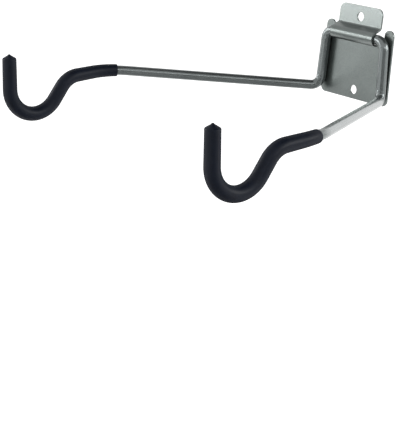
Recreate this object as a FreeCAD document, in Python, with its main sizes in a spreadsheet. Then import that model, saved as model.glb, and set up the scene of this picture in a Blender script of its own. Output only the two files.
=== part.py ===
import FreeCAD, Part
import Sketcher
import math
import os
from FreeCAD import Placement, Rotation, Vector

# Double-arm garage utility hook for a wall.
# Millimetres and degrees. The wall is the plane Y = 0 and the arms reach towards -Y.
# +Z is up, X = 0 is the plane of symmetry, and the origin lies midway between the two screw holes.

doc = FreeCAD.newDocument("garage_utility_hook")

# Driving dimensions: alias, value, what it measures
DIMENSIONS = [
    ("sheet_thickness", 1.5, "gauge of the folded bracket"),
    ("hole_spacing", 60.0, "upper screw hole to lower screw hole"),
    ("hole_diameter", 7.5, "clearance for a 6 mm lag screw"),
    ("lower_edge_distance", 7.5, "lower hole to the bottom edge of the plate"),
    ("upper_edge_distance", 9.0, "upper hole to the top edge of the tab"),
    ("plate_corner_radius", 5.0, "rounded lower corners of the plate"),
    ("tab_width", 48.0, "strip that forms bead and tab"),
    ("tab_corner_radius", 6.0, "rounded upper corners of the tab"),
    ("tab_lean_angle", 2.5, "the tab leans back until its top edge meets the wall"),
    ("ear_width", 9.6, "ear beside the strip, with a full round top"),
    ("ear_slot_width", 4.4, "slot between the strip and each ear"),
    ("ear_rise", 8.4, "top of the ears above the crossbar axis"),
    ("slot_corner_radius", 1.5, "corner of each slot on the side of its ear"),
    ("fold_radius", 0.8, "inside radius of the fold from plate to bead"),
    ("crease_radius", 2.0, "inside radius of the fold from slope to tab"),
    ("hole_above_crease", 5.4, "upper hole above the height where the tab becomes flat"),
    ("bead_clearance", 0.3, "between the crossbar and the inside of the bead"),
    ("rod_diameter", 8.0, "round steel rod"),
    ("leg_seat_gap", 0.1, "paint film between the legs and the plate"),
    ("bead_below_crease", 9.4, "crossbar axis below the height where the tab becomes flat"),
    ("leg_height", 48.0, "crossbar axis to the axis of the arms at the legs"),
    ("leg_beside_bead", 9.0, "end of the bead to the axis of the leg at the crossbar"),
    ("leg_splay", 2.2, "each leg outwards over its height"),
    ("corner_radius", 8.0, "bends at the top and bottom of each leg, on the axis"),
    ("arm_splay_angle", 31.0, "each arm away from straight ahead"),
    ("arm_rise_angle", 1.0, "each arm above level"),
    ("arm_length", 178.0, "leg axis to the corner of the knee"),
    ("knee_radius", 55.0, "gentle bend back to straight ahead"),
    ("lead_fall_angle", 7.0, "below level between knee and gooseneck"),
    ("lead_length", 29.5, "corner of the knee to the start of the gooseneck"),
    ("gooseneck_radius", 19.0, "bend into the drop"),
    ("drop_angle", 58.0, "the drop below level"),
    ("drop_length", 12.0, "straight between gooseneck and cradle"),
    ("cradle_radius", 22.0, "round of the hook that carries the load"),
    ("tip_lean_angle", 4.5, "outward lean of the hook's tip from upright"),
    ("tip_length", 27.3, "end of the cradle to the foot of the drip nib"),
    ("grip_length_left", 147.3, "coated length on the left arm, measured along the rod"),
    ("grip_length_right", 141.3, "coated length on the right arm, which was dipped less deep"),
    ("coating_lip", 1.0, "rod to the outside of the grip at its inner end"),
    ("coating_arm", 1.4, "rod to the outside of the grip after the knee"),
    ("coating_cradle", 1.75, "rod to the outside of the grip in the cradle"),
    ("coating_tip", 1.45, "rod to the outside of the grip below its shoulder"),
    ("arm_station", 121.3, "tip to where the arm radius holds"),
    ("cradle_station", 61.3, "tip to where the cradle radius holds"),
    ("shoulder_radius", 1.2, "rounding of the rim of the grip's end"),
    ("shoulder_height", 3.3, "rim to the foot of the drip nib, up the blunt cone between them"),
    ("nib_height", 0.8, "drip nib above its foot"),
    ("nib_round", 1.3, "radius of the nib's ball"),
    ("end_coating", 2.8, "vinyl between the sawn end of the rod and the foot of the nib"),
    ("coating_gap", 0.05, "film between rod and vinyl"),
    ("lip_rounding", 0.5, "worn edge of the grip's inner end"),
]

sheet = doc.addObject("Spreadsheet::Sheet", "sizes")
for row, (alias, value, meaning) in enumerate(DIMENSIONS, start=1):
    sheet.set("A%d" % row, meaning)
    sheet.set("B%d" % row, str(value))
    sheet.setAlias("B%d" % row, alias)
doc.recompute()


def size(alias):
    """A driving dimension, read from the sheet."""
    return float(sheet.get(alias))


# Sizes that follow from the driving ones
rod_radius = size("rod_diameter") / 2
thickness = size("sheet_thickness")
bracket_half_width = size("tab_width") / 2 + size("ear_slot_width") + size("ear_width")
plate_bottom = -(size("hole_spacing") / 2 + size("lower_edge_distance"))
tab_top = size("hole_spacing") / 2 + size("upper_edge_distance")
crease_height = size("hole_spacing") / 2 - size("hole_above_crease")
crossbar_height = crease_height - size("bead_below_crease")
ear_top = crossbar_height + size("ear_rise")
rod_plane = -(thickness + size("leg_seat_gap") + rod_radius)
bead_inside = rod_radius + size("bead_clearance")
bead_outside = bead_inside + thickness
fold_start = crossbar_height - bead_outside - size("fold_radius")
tab_lean = math.radians(size("tab_lean_angle"))
crease_offset = ((thickness + size("crease_radius")) / math.cos(tab_lean)
                 + (tab_top - crease_height) * math.tan(tab_lean))

# The same lengths as expressions, for what is bound to the sheet
ROD_RADIUS = "sizes.rod_diameter / 2"
ROD_PLANE = "-(sizes.sheet_thickness + sizes.leg_seat_gap + %s)" % ROD_RADIUS
BEAD_INSIDE = "%s + sizes.bead_clearance" % ROD_RADIUS
BEAD_OUTSIDE = "%s + sizes.sheet_thickness" % BEAD_INSIDE
BRACKET_HALF_WIDTH = "sizes.tab_width / 2 + sizes.ear_slot_width + sizes.ear_width"
PLATE_BOTTOM = "-(sizes.hole_spacing / 2 + sizes.lower_edge_distance)"
TAB_TOP = "sizes.hole_spacing / 2 + sizes.upper_edge_distance"
CREASE_HEIGHT = "sizes.hole_spacing / 2 - sizes.hole_above_crease"
CROSSBAR_HEIGHT = CREASE_HEIGHT + " - sizes.bead_below_crease"
FOLD_START = "%s - (%s) - sizes.fold_radius" % (CROSSBAR_HEIGHT, BEAD_OUTSIDE)
CREASE_OFFSET = ("(sizes.sheet_thickness + sizes.crease_radius) / cos(sizes.tab_lean_angle)"
                 " + (%s - (%s)) * tan(sizes.tab_lean_angle)" % (TAB_TOP, CREASE_HEIGHT))

# How the sketcher numbers the points of a line or arc, its origin and its two axes
START, END, CENTRE = range(1, 4)
HORIZONTAL_AXIS, VERTICAL_AXIS = range(-1, -3, -1)
ORIGIN = (HORIZONTAL_AXIS, START)

UP = Vector(0, 0, 1)
RIGHT = Vector(1, 0, 0)
TOUCHING = 1e-4


# Sketch helpers

def origin_plane(body, role):
    """One of a body's own origin planes."""
    return next(plane for plane in body.Origin.OriginFeatures if plane.Role == role)


def new_sketch(body, name, role):
    """An empty sketch on one of the body's origin planes."""
    sketch = body.newObject("Sketcher::SketchObject", name)
    sketch.AttachmentSupport = [(origin_plane(body, role), "")]
    sketch.MapMode = "FlatFace"
    return sketch


def line(sketch, x1, y1, x2, y2):
    return sketch.addGeometry(Part.LineSegment(Vector(x1, y1, 0), Vector(x2, y2, 0)), False)


def arc(sketch, x, y, radius, start_deg, end_deg):
    """An arc that runs anticlockwise from one angle to the other."""
    circle = Part.Circle(Vector(x, y, 0), UP, radius)
    return sketch.addGeometry(
        Part.ArcOfCircle(circle, math.radians(start_deg), math.radians(end_deg)), False)


def constrain(sketch, kind, *where):
    return sketch.addConstraint(Sketcher.Constraint(kind, *where))


def bind(sketch, kind, *where_and_expression):
    """A dimension that follows an expression on the sheet."""
    *where, expression = where_and_expression
    value = float(sketch.evalExpression(expression))
    index = sketch.addConstraint(Sketcher.Constraint(kind, *where, value))
    sketch.setExpression("Constraints[%d]" % index, expression)


def bind_point(sketch, geometry, point, x_expression, y_expression):
    """A point held at a place that follows the sheet."""
    bind(sketch, "DistanceX", *ORIGIN, geometry, point, x_expression)
    bind(sketch, "DistanceY", *ORIGIN, geometry, point, y_expression)


# Mounting bracket: the flat plate with its ears

def plate_sketch(body):
    """Right half of the blank below the bead, with one ear and the slot beside it."""
    half = bracket_half_width
    corner = size("plate_corner_radius")
    bottom = plate_bottom
    ear_round = size("ear_width") / 2
    ear_inside = half - size("ear_width")
    ear_straight = ear_top - ear_round
    slot_corner_round = size("slot_corner_radius")

    sketch = new_sketch(body, "plate_outline", "XZ_Plane")
    bottom_edge = line(sketch, 0, bottom, half - corner, bottom)
    corner_arc = arc(sketch, half - corner, bottom + corner, corner, -90, 0)
    side = line(sketch, half, bottom + corner, half, ear_straight)
    ear_arc = arc(sketch, half - ear_round, ear_straight, ear_round, 0, 180)
    ear_edge = line(sketch, ear_inside, ear_straight, ear_inside, fold_start + slot_corner_round)
    slot_corner = arc(sketch, ear_inside - slot_corner_round, fold_start + slot_corner_round,
                      slot_corner_round, 270, 360)
    fold_line = line(sketch, ear_inside - slot_corner_round, fold_start, 0, fold_start)
    middle = line(sketch, 0, fold_start, 0, bottom)

    for line_id in (bottom_edge, fold_line):
        constrain(sketch, "Horizontal", line_id)
    for line_id in (side, ear_edge):
        constrain(sketch, "Vertical", line_id)
    for first, first_end, second, second_end in (
            (bottom_edge, END, corner_arc, START), (corner_arc, END, side, START),
            (side, END, ear_arc, START), (ear_arc, END, ear_edge, START),
            (ear_edge, END, slot_corner, END), (slot_corner, START, fold_line, START)):
        constrain(sketch, "Tangent", first, first_end, second, second_end)
    for first, second in ((fold_line, middle), (middle, bottom_edge)):
        constrain(sketch, "Coincident", first, END, second, START)
    for end in (START, END):
        constrain(sketch, "PointOnObject", middle, end, VERTICAL_AXIS)

    bind(sketch, "Radius", corner_arc, "sizes.plate_corner_radius")
    bind(sketch, "Radius", slot_corner, "sizes.slot_corner_radius")
    bind(sketch, "DistanceX", *ORIGIN, side, START, BRACKET_HALF_WIDTH)
    bind(sketch, "DistanceX", *ORIGIN, ear_edge, START, BRACKET_HALF_WIDTH + " - sizes.ear_width")
    bind(sketch, "DistanceY", *ORIGIN, middle, END, PLATE_BOTTOM)
    bind(sketch, "DistanceY", *ORIGIN, ear_arc, CENTRE,
         CROSSBAR_HEIGHT + " + sizes.ear_rise - sizes.ear_width / 2")
    bind(sketch, "DistanceY", *ORIGIN, middle, START, FOLD_START)
    return sketch


# Mounting bracket: side profile of the strip, from the plate over the crossbar to the tab

def strip_sketch(body):
    """Closed section of the folded sheet, Y to the right and Z up."""
    fold = size("fold_radius")
    crease = size("crease_radius")
    lean_deg = size("tab_lean_angle")
    bead_centre = (rod_plane, crossbar_height)
    fold_centre = (-thickness - fold, fold_start)
    crease_centre = (-crease_offset, crease_height)

    # The slope touches the bead below it and the crease above it
    run = crease_centre[0] - bead_centre[0]
    rise = crease_centre[1] - bead_centre[1]
    apart = math.hypot(run, rise)
    slope = math.degrees(math.atan2(rise, run) - math.asin((bead_outside + crease) / apart))

    def on_circle(centre, radius, angle_deg):
        angle = math.radians(angle_deg)
        return centre[0] + radius * math.cos(angle), centre[1] + radius * math.sin(angle)

    sketch = new_sketch(body, "strip_profile", "YZ_Plane")

    def chain(fold_r, bead_r, crease_r, top):
        """One face of the sheet as three arcs and the runs between them."""
        fold_arc = arc(sketch, *fold_centre, fold_r, 0, 90)
        bead_arc = arc(sketch, *bead_centre, bead_r, 90 + slope, 270)
        crease_arc = arc(sketch, *crease_centre, crease_r, slope - 90, -lean_deg)
        floor_run = line(sketch, *on_circle(fold_centre, fold_r, 90),
                         *on_circle(bead_centre, bead_r, 270))
        slope_run = line(sketch, *on_circle(bead_centre, bead_r, 90 + slope),
                         *on_circle(crease_centre, crease_r, slope - 90))
        tab_run = line(sketch, *on_circle(crease_centre, crease_r, -lean_deg), *top)
        constrain(sketch, "Coincident", floor_run, START, fold_arc, END)
        constrain(sketch, "Coincident", floor_run, END, bead_arc, END)
        constrain(sketch, "Tangent", slope_run, START, bead_arc, START)
        constrain(sketch, "Tangent", slope_run, END, crease_arc, START)
        constrain(sketch, "Tangent", tab_run, START, crease_arc, END)
        constrain(sketch, "Horizontal", fold_arc, START, fold_arc, CENTRE)
        constrain(sketch, "Vertical", fold_arc, END, fold_arc, CENTRE)
        constrain(sketch, "Vertical", bead_arc, END, bead_arc, CENTRE)
        return fold_arc, bead_arc, crease_arc, tab_run

    back_top = (0, tab_top)
    front_top = on_circle(back_top, thickness, 180 - lean_deg)
    front = chain(fold, bead_outside, crease, front_top)
    back = chain(fold + thickness, bead_inside, crease + thickness, back_top)
    top_edge = line(sketch, *front_top, *back_top)
    bottom_edge = line(sketch, -thickness, fold_start, 0, fold_start)
    constrain(sketch, "Parallel", front[3], back[3])
    constrain(sketch, "Perpendicular", top_edge, back[3])
    constrain(sketch, "Coincident", top_edge, START, front[3], END)
    constrain(sketch, "Coincident", top_edge, END, back[3], END)
    constrain(sketch, "Coincident", bottom_edge, START, front[0], START)
    constrain(sketch, "Coincident", bottom_edge, END, back[0], START)
    for front_arc, back_arc in zip(front[:3], back[:3]):
        constrain(sketch, "Coincident", front_arc, CENTRE, back_arc, CENTRE)

    bind(sketch, "Radius", front[0], "sizes.fold_radius")
    bind(sketch, "Radius", back[0], "sizes.fold_radius + sizes.sheet_thickness")
    bind(sketch, "Radius", front[1], BEAD_OUTSIDE)
    bind(sketch, "Radius", back[1], BEAD_INSIDE)
    bind(sketch, "Radius", front[2], "sizes.crease_radius")
    bind(sketch, "Radius", back[2], "sizes.crease_radius + sizes.sheet_thickness")
    bind_point(sketch, front[0], CENTRE, "-(sizes.sheet_thickness + sizes.fold_radius)", FOLD_START)
    bind_point(sketch, front[1], CENTRE, ROD_PLANE, CROSSBAR_HEIGHT)
    bind_point(sketch, front[2], CENTRE, "-(%s)" % CREASE_OFFSET, CREASE_HEIGHT)
    constrain(sketch, "PointOnObject", top_edge, END, VERTICAL_AXIS)
    bind(sketch, "DistanceY", *ORIGIN, top_edge, END, TAB_TOP)
    return sketch


def tab_corner_edges(shape):
    """Names of the two short edges through the sheet at the tab's upper corners."""
    names = []
    for number, edge in enumerate(shape.Edges, start=1):
        middle = edge.CenterOfMass
        at_side = abs(abs(middle.x) - size("tab_width") / 2) < TOUCHING
        through_sheet = abs(edge.Length - thickness) < TOUCHING
        if at_side and through_sheet and middle.z > crease_height:
            names.append("Edge%d" % number)
    return names


def make_bracket():
    body = doc.addObject("PartDesign::Body", "mounting_bracket")
    body.Label = "mounting_bracket"

    outline = plate_sketch(body)
    plate = body.newObject("PartDesign::Pad", "plate_half")
    plate.Profile = outline
    plate.setExpression("Length", "sizes.sheet_thickness")
    mirrored = body.newObject("PartDesign::Mirrored", "plate")
    mirrored.Originals = [plate]
    mirrored.MirrorPlane = (origin_plane(body, "YZ_Plane"), [""])
    body.Tip = mirrored
    doc.recompute()

    profile = strip_sketch(body)
    strip = body.newObject("PartDesign::Pad", "bead_and_tab")
    strip.Profile = profile
    strip.SideType = "Symmetric"
    strip.setExpression("Length", "sizes.tab_width")
    doc.recompute()

    corners = body.newObject("PartDesign::Fillet", "tab_corners")
    corners.Base = (strip, tab_corner_edges(strip.Shape))
    corners.setExpression("Radius", "sizes.tab_corner_radius")
    doc.recompute()

    holes_sketch = new_sketch(body, "hole_places", "XZ_Plane")
    for side in (1, -1):
        centre = Vector(0, side * size("hole_spacing") / 2, 0)
        hole = holes_sketch.addGeometry(Part.Circle(centre, UP, size("hole_diameter") / 2), False)
        constrain(holes_sketch, "PointOnObject", hole, CENTRE, VERTICAL_AXIS)
        bind(holes_sketch, "DistanceY", *ORIGIN, hole, CENTRE, "%d * sizes.hole_spacing / 2" % side)
        bind(holes_sketch, "Diameter", hole, "sizes.hole_diameter")
    before = corners.Shape.Volume
    holes = body.newObject("PartDesign::Pocket", "screw_holes")
    holes.Profile = holes_sketch
    holes.SideType = "Symmetric"
    holes.Type = "ThroughAll"
    doc.recompute()
    punched = 2 * math.pi * (size("hole_diameter") / 2) ** 2 * thickness
    if not math.isclose(before - holes.Shape.Volume, punched, rel_tol=0.01):
        raise RuntimeError("the screw holes do not go through the sheet")
    return body


# The rod's axis: straight runs joined by tangent bends

def direction(splay_deg, rise_deg):
    """A unit vector turned outwards from straight ahead and lifted above level."""
    splay = math.radians(splay_deg)
    rise = math.radians(rise_deg)
    return Vector(math.sin(splay) * math.cos(rise), -math.cos(splay) * math.cos(rise), math.sin(rise))


def setback(radius, first, second):
    """Distance from the corner of a bend to where its arc starts."""
    return radius * math.tan(first.getAngle(second) / 2)


def bend_table():
    """Runs from the middle of the crossbar to the right tip: direction, straight, next radius."""
    leg_top = size("tab_width") / 2 + size("leg_beside_bead")
    leg = Vector(size("leg_splay"), 0, -size("leg_height"))
    leg_length = leg.Length
    leg.normalize()
    arm = direction(size("arm_splay_angle"), size("arm_rise_angle"))
    lead = direction(0, -size("lead_fall_angle"))
    drop = direction(0, -size("drop_angle"))
    tip = direction(0, 90 - size("tip_lean_angle"))
    corner = size("corner_radius")
    knee = size("knee_radius")

    top_setback = setback(corner, RIGHT, leg)
    arm_setback = setback(corner, leg, arm)
    knee_setback = setback(knee, arm, lead)
    return [
        (RIGHT, leg_top - top_setback, corner),
        (leg, leg_length - top_setback - arm_setback, corner),
        (arm, size("arm_length") - arm_setback - knee_setback, knee),
        (lead, size("lead_length") - knee_setback, size("gooseneck_radius")),
        (drop, size("drop_length"), size("cradle_radius")),
        (tip, size("tip_length"), None),
    ]


def axis_edges():
    """Line and arc edges of the right half of the rod's axis, in order."""
    table = bend_table()
    place = Vector(0, rod_plane, crossbar_height)
    edges = []
    for number, (heading, straight, radius) in enumerate(table):
        end = place + heading * straight
        edges.append(Part.LineSegment(place, end).toShape())
        place = end
        if radius is None:
            break
        following = table[number + 1][0]
        turn = heading.getAngle(following)
        inward = following - heading * heading.dot(following)
        inward.normalize()
        centre = place + inward * radius

        def on_bend(angle):
            return centre + (heading * math.sin(angle) - inward * math.cos(angle)) * radius

        edges.append(Part.Arc(place, on_bend(turn / 2), on_bend(turn)).toShape())
        place = on_bend(turn)
    return edges


def stretch(edges, first, last):
    """The part of an edge chain between two lengths measured along it."""
    pieces = []
    done = 0.0
    for edge in edges:
        start = max(first - done, 0.0)
        stop = min(last - done, edge.Length)
        if stop - start > TOUCHING:
            low = edge.getParameterByLength(start)
            high = edge.getParameterByLength(stop)
            pieces.append(edge.Curve.toShape(low, high))
        done += edge.Length
    return Part.Wire(pieces)


def station(edges, along):
    """Placement on the axis whose Z follows the rod and whose X stays close to the row's X."""
    done = 0.0
    for edge in edges:
        if along <= done + edge.Length + TOUCHING:
            parameter = edge.getParameterByLength(min(along - done, edge.Length))
            return Placement(edge.valueAt(parameter),
                             Rotation(RIGHT, Vector(), edge.tangentAt(parameter), "ZXY"))
        done += edge.Length
    raise ValueError("beyond the end of the axis")


def path_object(name, wire):
    """A wire of the document for sweeps to follow."""
    path = doc.addObject("Part::Feature", name)
    path.Shape = wire
    return path


def edge_names(shape):
    return ["Edge%d" % number for number in range(1, len(shape.Edges) + 1)]


AXIS = axis_edges()
axis_length = sum(edge.Length for edge in AXIS)
rod_end = axis_length - size("end_coating")
shoulder_start = axis_length - size("shoulder_height")


# Bent rod

def make_rod():
    body = doc.addObject("PartDesign::Body", "bent_rod")
    body.Label = "bent_rod"
    path = path_object("rod_axis", stretch(AXIS, 0, rod_end))
    binder = body.newObject("PartDesign::SubShapeBinder", "axis_in_rod")
    binder.Support = [(path, ("",))]
    section = new_sketch(body, "rod_section", "YZ_Plane")
    circle = section.addGeometry(
        Part.Circle(Vector(rod_plane, crossbar_height, 0), UP, rod_radius), False)
    bind_point(section, circle, CENTRE, ROD_PLANE, CROSSBAR_HEIGHT)
    bind(section, "Diameter", circle, "sizes.rod_diameter")
    doc.recompute()

    half = body.newObject("PartDesign::AdditivePipe", "right_half")
    half.Profile = section
    half.Spine = (binder, edge_names(binder.Shape))
    doc.recompute()
    whole = body.newObject("PartDesign::Mirrored", "both_halves")
    whole.Originals = [half]
    whole.MirrorPlane = (origin_plane(body, "YZ_Plane"), [""])
    body.Tip = whole
    doc.recompute()

    expected = 2 * rod_end * math.pi * rod_radius ** 2
    if not math.isclose(whole.Shape.Volume, expected, rel_tol=0.005):
        raise RuntimeError("the rod's volume is not its section times its length")
    return body


# Dipped grip

def ring(name, along, wall):
    """A circle across the axis, a named wall outside the rod."""
    circle = doc.addObject("Part::Circle", name)
    circle.setExpression("Radius", "%s + sizes.%s" % (ROD_RADIUS, wall))
    circle.Placement = station(AXIS, along)
    return circle


def sweep(name, wire, rings):
    """A solid that follows a wire through one ring or more."""
    path = path_object(name + "_path", wire)
    solid = doc.addObject("Part::Sweep", name)
    solid.Sections = rings
    solid.Spine = (path, edge_names(path.Shape))
    solid.Solid = True
    solid.Frenet = False
    return solid


def grip_end_body(name):
    """Blunt cone that closes the coating, with its drip nib, turned about the tip's axis."""
    body = doc.addObject("PartDesign::Body", name)
    outer = rod_radius + size("coating_tip")
    rim = size("shoulder_radius")
    foot = size("shoulder_height")
    ball = size("nib_round")
    top = foot + size("nib_height")

    # The cone touches the rim's round and ends on the ball
    foot_radius = math.sqrt(ball ** 2 - (ball - size("nib_height")) ** 2)
    from_rim = Vector(foot_radius - (outer - rim), foot, 0)
    touch = math.atan2(from_rim.y, from_rim.x) - math.acos(rim / from_rim.Length)
    foot_angle = math.degrees(math.asin((ball - size("nib_height")) / ball))

    sketch = new_sketch(body, name + "_profile", "XZ_Plane")
    base = line(sketch, 0, 0, outer, 0)
    round_arc = arc(sketch, outer - rim, 0, rim, 0, math.degrees(touch))
    cone = line(sketch, outer - rim + rim * math.cos(touch), rim * math.sin(touch), foot_radius, foot)
    tip = arc(sketch, 0, top - ball, ball, foot_angle, 90)
    axis = line(sketch, 0, top, 0, 0)
    constrain(sketch, "Horizontal", base)
    constrain(sketch, "Coincident", base, START, *ORIGIN)
    constrain(sketch, "Coincident", base, END, round_arc, START)
    constrain(sketch, "PointOnObject", round_arc, CENTRE, HORIZONTAL_AXIS)
    constrain(sketch, "Tangent", round_arc, END, cone, START)
    constrain(sketch, "Coincident", cone, END, tip, START)
    constrain(sketch, "PointOnObject", tip, CENTRE, VERTICAL_AXIS)
    constrain(sketch, "PointOnObject", tip, END, VERTICAL_AXIS)
    constrain(sketch, "Coincident", tip, END, axis, START)
    constrain(sketch, "Coincident", axis, END, base, START)
    bind(sketch, "DistanceX", *ORIGIN, base, END, "%s + sizes.coating_tip" % ROD_RADIUS)
    bind(sketch, "Radius", round_arc, "sizes.shoulder_radius")
    bind(sketch, "DistanceY", *ORIGIN, cone, END, "sizes.shoulder_height")
    bind(sketch, "Radius", tip, "sizes.nib_round")
    bind(sketch, "DistanceY", *ORIGIN, tip, END, "sizes.shoulder_height + sizes.nib_height")

    turned = body.newObject("PartDesign::Revolution", name + "_turned")
    turned.Profile = sketch
    turned.ReferenceAxis = (sketch, ["V_Axis"])
    turned.Angle = 360
    body.Placement = station(AXIS, shoulder_start)
    doc.recompute()
    return body


def lip_edge(shape, grip_start):
    """Number of the outer round edge at the grip's inner end."""
    centre = station(AXIS, grip_start).Base
    middle_of_wall = rod_radius + size("coating_lip") / 2
    for number, edge in enumerate(shape.Edges, start=1):
        around_lip = (edge.CenterOfMass - centre).Length < TOUCHING
        ring_radius = (edge.valueAt(edge.FirstParameter) - centre).Length
        if around_lip and ring_radius > middle_of_wall:
            return number
    raise RuntimeError("the grip has no outer edge at its lip")


def coated_arm(side):
    """A grip on the rod's right half, with the coated length of the named side."""
    grip_start = axis_length - size("grip_length_" + side)
    skin = sweep("skin_" + side, stretch(AXIS, grip_start, shoulder_start), [
        ring("lip_ring_" + side, grip_start, "coating_lip"),
        ring("arm_ring_" + side, axis_length - size("arm_station"), "coating_arm"),
        ring("cradle_ring_" + side, axis_length - size("cradle_station"), "coating_cradle"),
        ring("tip_ring_" + side, shoulder_start, "coating_tip"),
    ])
    doc.recompute()
    coating = doc.addObject("Part::Fuse", "coating_" + side)
    coating.Base = skin
    coating.Tool = grip_end_body("grip_end_" + side)

    bore_start = grip_start - size("rod_diameter")
    bore_end = rod_end + size("coating_gap")
    bore = sweep("bore_" + side, stretch(AXIS, bore_start, bore_end),
                 [ring("bore_ring_" + side, bore_start, "coating_gap")])
    doc.recompute()
    bored = doc.addObject("Part::Cut", "bored_" + side)
    bored.Base = coating
    bored.Tool = bore
    doc.recompute()
    finished = doc.addObject("Part::Fillet", "finished_" + side)
    finished.Base = bored
    finished.Edges = [(lip_edge(bored.Shape, grip_start), size("lip_rounding"), size("lip_rounding"))]
    return finished


def make_grips():
    right = coated_arm("right")
    right.Label = "grip_right"
    left = doc.addObject("Part::Mirroring", "grip_left")
    left.Label = "grip_left"
    left.Source = coated_arm("left")
    left.Normal = RIGHT
    left.Base = Vector()
    doc.recompute()
    return [left, right]


pieces = [make_bracket(), make_rod()] + make_grips()

# Every feature must have built, and each piece must be one sound solid
doc.recompute()
for item in doc.Objects:
    if "Invalid" in item.State or "Error" in item.State:
        raise RuntimeError("%s did not build: %s" % (item.Name, item.State))
for piece in pieces:
    shape = piece.Shape
    if shape.isNull() or not shape.isValid() or len(shape.Solids) != 1:
        raise RuntimeError("%s is not one sound solid" % piece.Label)

os.makedirs("parts", exist_ok=True)
for piece in pieces:
    piece.Shape.exportStep(os.path.join("parts", piece.Label + ".step"))
    print(piece.Label, "volume", round(piece.Shape.Volume, 1), "faces", len(piece.Shape.Faces))
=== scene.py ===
import math

import bmesh
import bpy
from mathutils import Matrix, Vector

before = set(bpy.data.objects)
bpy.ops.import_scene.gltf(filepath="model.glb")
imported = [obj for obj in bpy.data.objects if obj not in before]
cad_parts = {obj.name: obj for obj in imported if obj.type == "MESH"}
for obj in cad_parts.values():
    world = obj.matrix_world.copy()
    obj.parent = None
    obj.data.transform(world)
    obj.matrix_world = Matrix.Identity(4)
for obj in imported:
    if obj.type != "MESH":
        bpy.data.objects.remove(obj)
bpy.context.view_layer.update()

MM = 0.001

# The Mix node's sockets, for mixing numbers and for mixing colours
FACTOR, NUMBER_A, NUMBER_B, COLOUR_A, COLOUR_B = 0, 2, 3, 6, 7
MIXED_COLOUR = 2


# Colour and node helpers

def linear(hex_colour):
    """An sRGB hex colour as linear RGBA."""
    channels = [int(hex_colour[i:i + 2], 16) / 255 for i in (1, 3, 5)]
    return [c / 12.92 if c <= 0.04045 else ((c + 0.055) / 1.055) ** 2.4 for c in channels] + [1.0]


def node(tree, kind, settings=None, links=None, **inputs):
    """Adds a node, sets its properties and sockets, and links sockets to other nodes' outputs."""
    made = tree.nodes.new(kind)
    for name, value in (settings or {}).items():
        setattr(made, name, value)
    for name, value in inputs.items():
        made.inputs[name.replace("_", " ")].default_value = value
    for name, output in (links or {}).items():
        tree.links.new(output, made.inputs[name])
    return made


def new_material(name):
    """A material with a Principled surface and nothing else."""
    made = bpy.data.materials.new(name)
    made.use_nodes = True
    tree = made.node_tree
    tree.nodes.clear()
    shader = tree.nodes.new("ShaderNodeBsdfPrincipled")
    out = tree.nodes.new("ShaderNodeOutputMaterial")
    tree.links.new(shader.outputs["BSDF"], out.inputs["Surface"])
    return made, tree, shader


# Materials

def silver_powder_coat(name, film_hex, flake_hex, roughness):
    """Silver-grey powder coat, sprayed and baked on steel: satin, and it mirrors its surroundings softly."""
    made, tree, shader = new_material(name)
    place = node(tree, "ShaderNodeTexCoord").outputs["Object"]

    # Aluminium flakes are about 0.05 mm across, drawn at 0.45 mm so that the sparkle shows
    flakes = node(tree, "ShaderNodeTexNoise", links={"Vector": place},
                  Scale=1 / (0.45 * MM), Detail=2.0, Roughness=0.6)
    # The film's thickness drifts over a few centimetres
    drift = node(tree, "ShaderNodeTexNoise", links={"Vector": place}, Scale=1 / (30 * MM), Detail=2.0)
    grain = node(tree, "ShaderNodeMix", {"data_type": "FLOAT"},
                 {NUMBER_A: flakes.outputs["Fac"], NUMBER_B: drift.outputs["Fac"]})
    grain.inputs[FACTOR].default_value = 0.25
    spread = node(tree, "ShaderNodeMapRange", links={"Value": grain.outputs["Result"]},
                  From_Min=0.35, From_Max=0.65)
    colour = node(tree, "ShaderNodeMix", {"data_type": "RGBA"}, {FACTOR: spread.outputs["Result"]})
    colour.inputs[COLOUR_A].default_value = linear(film_hex)
    colour.inputs[COLOUR_B].default_value = linear(flake_hex)
    tree.links.new(colour.outputs[MIXED_COLOUR], shader.inputs["Base Color"])

    # The gloss changes a little from flake to flake
    gloss_range = 0.04
    gloss = node(tree, "ShaderNodeMapRange", links={"Value": flakes.outputs["Fac"]},
                 To_Min=roughness - gloss_range, To_Max=roughness + gloss_range)
    tree.links.new(gloss.outputs["Result"], shader.inputs["Roughness"])

    # Orange peel of the baked powder, about 1.5 mm from crest to crest
    peel = node(tree, "ShaderNodeTexNoise", links={"Vector": place}, Scale=1 / (1.5 * MM), Detail=1.0)
    # The film runs round over the sheared edges, so they catch the light
    rounded_edges = node(tree, "ShaderNodeBevel", {"samples": 6}, Radius=0.35 * MM)
    bump = node(tree, "ShaderNodeBump",
                links={"Height": peel.outputs["Fac"], "Normal": rounded_edges.outputs["Normal"]},
                Strength=0.25, Distance=0.012 * MM)
    tree.links.new(bump.outputs["Normal"], shader.inputs["Normal"])

    # Metal flakes in grey resin, so not quite a bare metal
    shader.inputs["Metallic"].default_value = 0.75
    # Clear resin over the flakes, whose highlight has the lamp's own white
    shader.inputs["Coat Weight"].default_value = 0.5
    shader.inputs["Coat Roughness"].default_value = 0.20
    return made, tree, shader, bump


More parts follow.
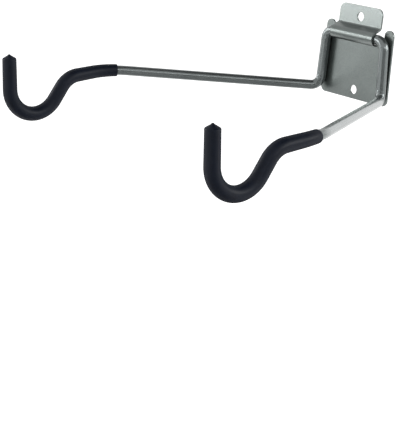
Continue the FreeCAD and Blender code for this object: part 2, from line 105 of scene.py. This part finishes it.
def creased_bends(tree, shader, coat):
    """Ridges where the rod's steel was squeezed on the inside of the bends at the legs' feet."""
    place = node(tree, "ShaderNodeTexCoord").outputs["Object"]
    # The bends mirror each other across the middle of the hook, so one place without signs does for both
    one_side = node(tree, "ShaderNodeVectorMath", {"operation": "ABSOLUTE"}, {0: place})
    inside_of_bend = node(tree, "ShaderNodeVectorMath", {"operation": "DISTANCE"}, {0: one_side.outputs[0]})
    crease_place = Vector((37.0, 9.6, 26.6)) * MM
    inside_of_bend.inputs[1].default_value = crease_place
    squeezed = node(tree, "ShaderNodeMapRange", links={"Value": inside_of_bend.outputs["Value"]},
                    From_Min=2.0 * MM, From_Max=6.0 * MM, To_Min=1.0, To_Max=0.0)
    # Uneven ridges across the rod; a wave of this scale has its crests about 3.8 mm apart
    ridges = node(tree, "ShaderNodeTexWave", {"bands_direction": "Z"}, {"Vector": place},
                  Scale=1 / (12.0 * MM), Distortion=2.5, Detail=2.0)
    height = node(tree, "ShaderNodeMath", {"operation": "MULTIPLY"},
                  {0: ridges.outputs["Fac"], 1: squeezed.outputs["Result"]})
    creases = node(tree, "ShaderNodeBump",
                   links={"Height": height.outputs[0], "Normal": coat.outputs["Normal"]},
                   Strength=0.8, Distance=0.35 * MM)
    tree.links.new(creases.outputs["Normal"], shader.inputs["Normal"])


def dipped_vinyl():
    """Black plastisol, dipped and cured: satin, a little blue, with faint sags and dust-fine pits."""
    made, tree, shader = new_material("dipped_black_vinyl")
    place = node(tree, "ShaderNodeTexCoord").outputs["Object"]

    # The thick liquid sags as it cures, in patches of about 9 mm
    sags = node(tree, "ShaderNodeTexNoise", links={"Vector": place}, Scale=1 / (9 * MM), Detail=3.0)
    colour = node(tree, "ShaderNodeMix", {"data_type": "RGBA"}, {FACTOR: sags.outputs["Fac"]})
    colour.inputs[COLOUR_A].default_value = linear("#0a0f19")
    colour.inputs[COLOUR_B].default_value = linear("#131a28")
    tree.links.new(colour.outputs[MIXED_COLOUR], shader.inputs["Base Color"])

    # Soft vinyl has no bright rim: its skin scatters what would mirror at a flat angle
    gloss = node(tree, "ShaderNodeMapRange", links={"Value": sags.outputs["Fac"]}, To_Min=0.34, To_Max=0.48)
    facing = node(tree, "ShaderNodeLayerWeight", Blend=0.5)
    rim = node(tree, "ShaderNodeMapRange", links={"Value": facing.outputs["Facing"]},
               From_Min=0.35, From_Max=0.85, To_Min=0.0, To_Max=0.5)
    dull = node(tree, "ShaderNodeMath", {"operation": "ADD"},
                {0: gloss.outputs["Result"], 1: rim.outputs["Result"]})
    tree.links.new(dull.outputs[0], shader.inputs["Roughness"])

    # Dust and bubbles leave pits of about 0.2 mm, drawn at 1.2 mm so that they show
    pits = node(tree, "ShaderNodeTexNoise", links={"Vector": place}, Scale=1 / (1.2 * MM), Detail=3.0)
    height = node(tree, "ShaderNodeMix", {"data_type": "FLOAT"},
                  {NUMBER_A: pits.outputs["Fac"], NUMBER_B: sags.outputs["Fac"]})
    height.inputs[FACTOR].default_value = 0.7
    bump = node(tree, "ShaderNodeBump", links={"Height": height.outputs[0]},
                Strength=0.35, Distance=0.12 * MM)
    tree.links.new(bump.outputs["Normal"], shader.inputs["Normal"])
    shader.inputs["IOR"].default_value = 1.52
    shader.inputs["Specular IOR Level"].default_value = 0.15
    return made


# The sheet's coat is a little duller than the rod's
bracket_coat, *_ = silver_powder_coat("silver_coat_on_sheet", "#585f5d", "#727977", 0.29)
rod_coat, rod_tree, rod_shader, rod_bump = silver_powder_coat(
    "silver_coat_on_rod", "#5f6565", "#7c8282", 0.20)
creased_bends(rod_tree, rod_shader, rod_bump)
vinyl = dipped_vinyl()

for name, material in (("mounting_bracket", bracket_coat), ("bent_rod", rod_coat),
                       ("grip_left", vinyl), ("grip_right", vinyl)):
    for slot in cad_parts[name].material_slots:
        slot.material = material


# Studio

def studio_card(name, centre, size_x, size_y, facing, material):
    """A flat card of the studio."""
    mesh = bpy.data.meshes.new(name)
    shape = bmesh.new()
    bmesh.ops.create_grid(shape, x_segments=1, y_segments=1, size=0.5)
    bmesh.ops.scale(shape, verts=shape.verts, vec=(size_x, size_y, 1))
    shape.to_mesh(mesh)
    shape.free()
    card = bpy.data.objects.new(name, mesh)
    card.rotation_euler = Vector(facing).to_track_quat("Z", "Y").to_euler()
    card.location = centre
    card.data.materials.append(material)
    bpy.context.scene.collection.objects.link(card)
    return card


def seen_directly(tree):
    """1 for what the camera, a reflection or a clear body shows, 0 for light that falls on things."""
    path = node(tree, "ShaderNodeLightPath")
    seen = path.outputs["Is Camera Ray"]
    for kind in ("Is Glossy Ray", "Is Transmission Ray"):
        either = node(tree, "ShaderNodeMath", {"operation": "MAXIMUM"}, {0: seen, 1: path.outputs[kind]})
        seen = either.outputs[0]
    return seen


def matt_paper(name, hex_colour, glow=0.0):
    """Matt studio paper; the glow lifts what is seen of it to white."""
    made, tree, shader = new_material(name)
    shader.inputs["Base Color"].default_value = linear(hex_colour)
    shader.inputs["Roughness"].default_value = 0.9
    if glow:
        lift = node(tree, "ShaderNodeMath", {"operation": "MULTIPLY"}, {0: seen_directly(tree)})
        lift.inputs[1].default_value = glow
        tree.links.new(lift.outputs[0], shader.inputs["Emission Strength"])
        shader.inputs["Emission Color"].default_value = (1, 1, 1, 1)
    return made


studio_card("floor", (0, 0, -0.60), 14, 14, (0, 0, 1), matt_paper("white_sweep", "#f4f4f4", 0.68))

# Cards out of the picture draw the dark lines on the rod: a grey one behind the camera for the legs,
# a dark one overhead for the upper edges, and two grey ones under the hook for the arms and the bead.
# The camera doesn't see the cards themselves
grey = matt_paper("grey_card", "#c8c8c8")
dark = matt_paper("dark_card", "#585858")
for card in (studio_card("card_behind_camera", (1.50, -1.10, 0.0), 2.6, 1.0, (-1.50, 1.10, 0.0), grey),
             studio_card("flag_overhead", (0.15, 0.45, 1.20), 1.6, 1.6, (0, 0, -1), dark),
             studio_card("flag_below", (0.60, -0.25, -0.50), 1.5, 1.0, (0, 0, 1), grey),
             studio_card("flag_low_left", (-0.95, -0.85, -0.50), 0.7, 0.7, (0, 0, 1), grey)):
    card.visible_camera = False


def soft_box(name, place, aim, width, height, power):
    """A rectangular lamp that looks at a point."""
    lamp = bpy.data.lights.new(name, "AREA")
    lamp.shape = "RECTANGLE"
    lamp.size = width
    lamp.size_y = height
    lamp.energy = power
    holder = bpy.data.objects.new(name, lamp)
    holder.location = place
    holder.rotation_euler = (Vector(place) - Vector(aim)).to_track_quat("Z", "Y").to_euler()
    bpy.context.scene.collection.objects.link(holder)


# A strip at the left in front, level with the hook, lights the flat sheet; the one above it draws the
# bead's highlight. One high at the right draws the left arm's bright line. Two broad ones behind the
# wall light the right arm, the gooseneck bends and the rims
soft_box("lamp_left", (-0.93, -0.79, 0.025), (0, 0, 0.03), 0.80, 0.12, 2.10)
soft_box("lamp_strip", (-0.90, -0.76, 0.30), (0, 0, 0), 1.20, 0.16, 3.9)
soft_box("lamp_high_right", (1.22, -0.35, 0.52), (-0.08, -0.08, -0.03), 1.20, 0.12, 1.3)
soft_box("lamp_behind_right", (0.95, 0.62, 0.42), (0.0, -0.15, -0.03), 0.80, 0.50, 5.7)
soft_box("lamp_behind", (-0.12, 0.95, 0.18), (0.05, -0.1, -0.03), 0.70, 0.60, 0.7)

# The studio's dome: white at the level of the hook and a tenth darker overhead
world = bpy.data.worlds.new("studio")
bpy.context.scene.world = world
world.use_nodes = True
sky = world.node_tree
sky.nodes.clear()
around = node(sky, "ShaderNodeTexCoord").outputs["Generated"]
direction = node(sky, "ShaderNodeSeparateXYZ", links={0: around})
dome = node(sky, "ShaderNodeMapRange", links={"Value": direction.outputs["Z"]},
            From_Min=0.10, From_Max=0.50, To_Min=1.0, To_Max=0.90)
# It lights the hook at three quarters of the white that is seen of it
seen = node(sky, "ShaderNodeMapRange", links={"Value": seen_directly(sky)}, To_Min=0.75, To_Max=1.0)
strength = node(sky, "ShaderNodeMath", {"operation": "MULTIPLY"},
                {0: dome.outputs["Result"], 1: seen.outputs["Result"]})
white = node(sky, "ShaderNodeBackground", links={"Strength": strength.outputs[0]}, Color=linear("#ffffff"))
node(sky, "ShaderNodeOutputWorld", links={"Surface": white.outputs[0]})


# Camera, at the photograph's viewing angle

AZIMUTH, ELEVATION, ROLL = (math.radians(a) for a in (50.48, 12.31, 4.72))
# The picture, the focal length and the optical centre are in pixels, the sensor in millimetres
PICTURE = (420, 434)
FOCAL_LENGTH = 1266.64
OPTICAL_CENTRE = (216.98, 136.16)
SENSOR = 36.0
# Metres from a point on the hook, in the camera's own directions
FROM_POINT = Vector((0, -1.5, -32.8)) * MM
TO_THE_RIGHT, UPWARDS, BACKWARDS = -0.11135, -0.03556, 1.03863

back = Vector((math.sin(AZIMUTH) * math.cos(ELEVATION), -math.cos(AZIMUTH) * math.cos(ELEVATION),
               math.sin(ELEVATION)))
level_right = Vector((math.cos(AZIMUTH), math.sin(AZIMUTH), 0))
level_up = back.cross(level_right)
right = level_right * math.cos(ROLL) + level_up * math.sin(ROLL)
up = level_up * math.cos(ROLL) - level_right * math.sin(ROLL)

lens = bpy.data.cameras.new("camera")
lens.sensor_width = SENSOR
lens.lens = SENSOR * FOCAL_LENGTH / max(PICTURE)
lens.shift_x = (PICTURE[0] / 2 - OPTICAL_CENTRE[0]) / max(PICTURE)
lens.shift_y = (OPTICAL_CENTRE[1] - PICTURE[1] / 2) / max(PICTURE)
camera = bpy.data.objects.new("camera", lens)
place = right * TO_THE_RIGHT + up * UPWARDS + back * BACKWARDS + FROM_POINT
camera.matrix_world = Matrix.Translation(place) @ Matrix((right, up, back)).transposed().to_4x4()
bpy.context.scene.collection.objects.link(camera)
bpy.context.scene.camera = camera

bpy.context.scene.view_settings.view_transform = "Standard"
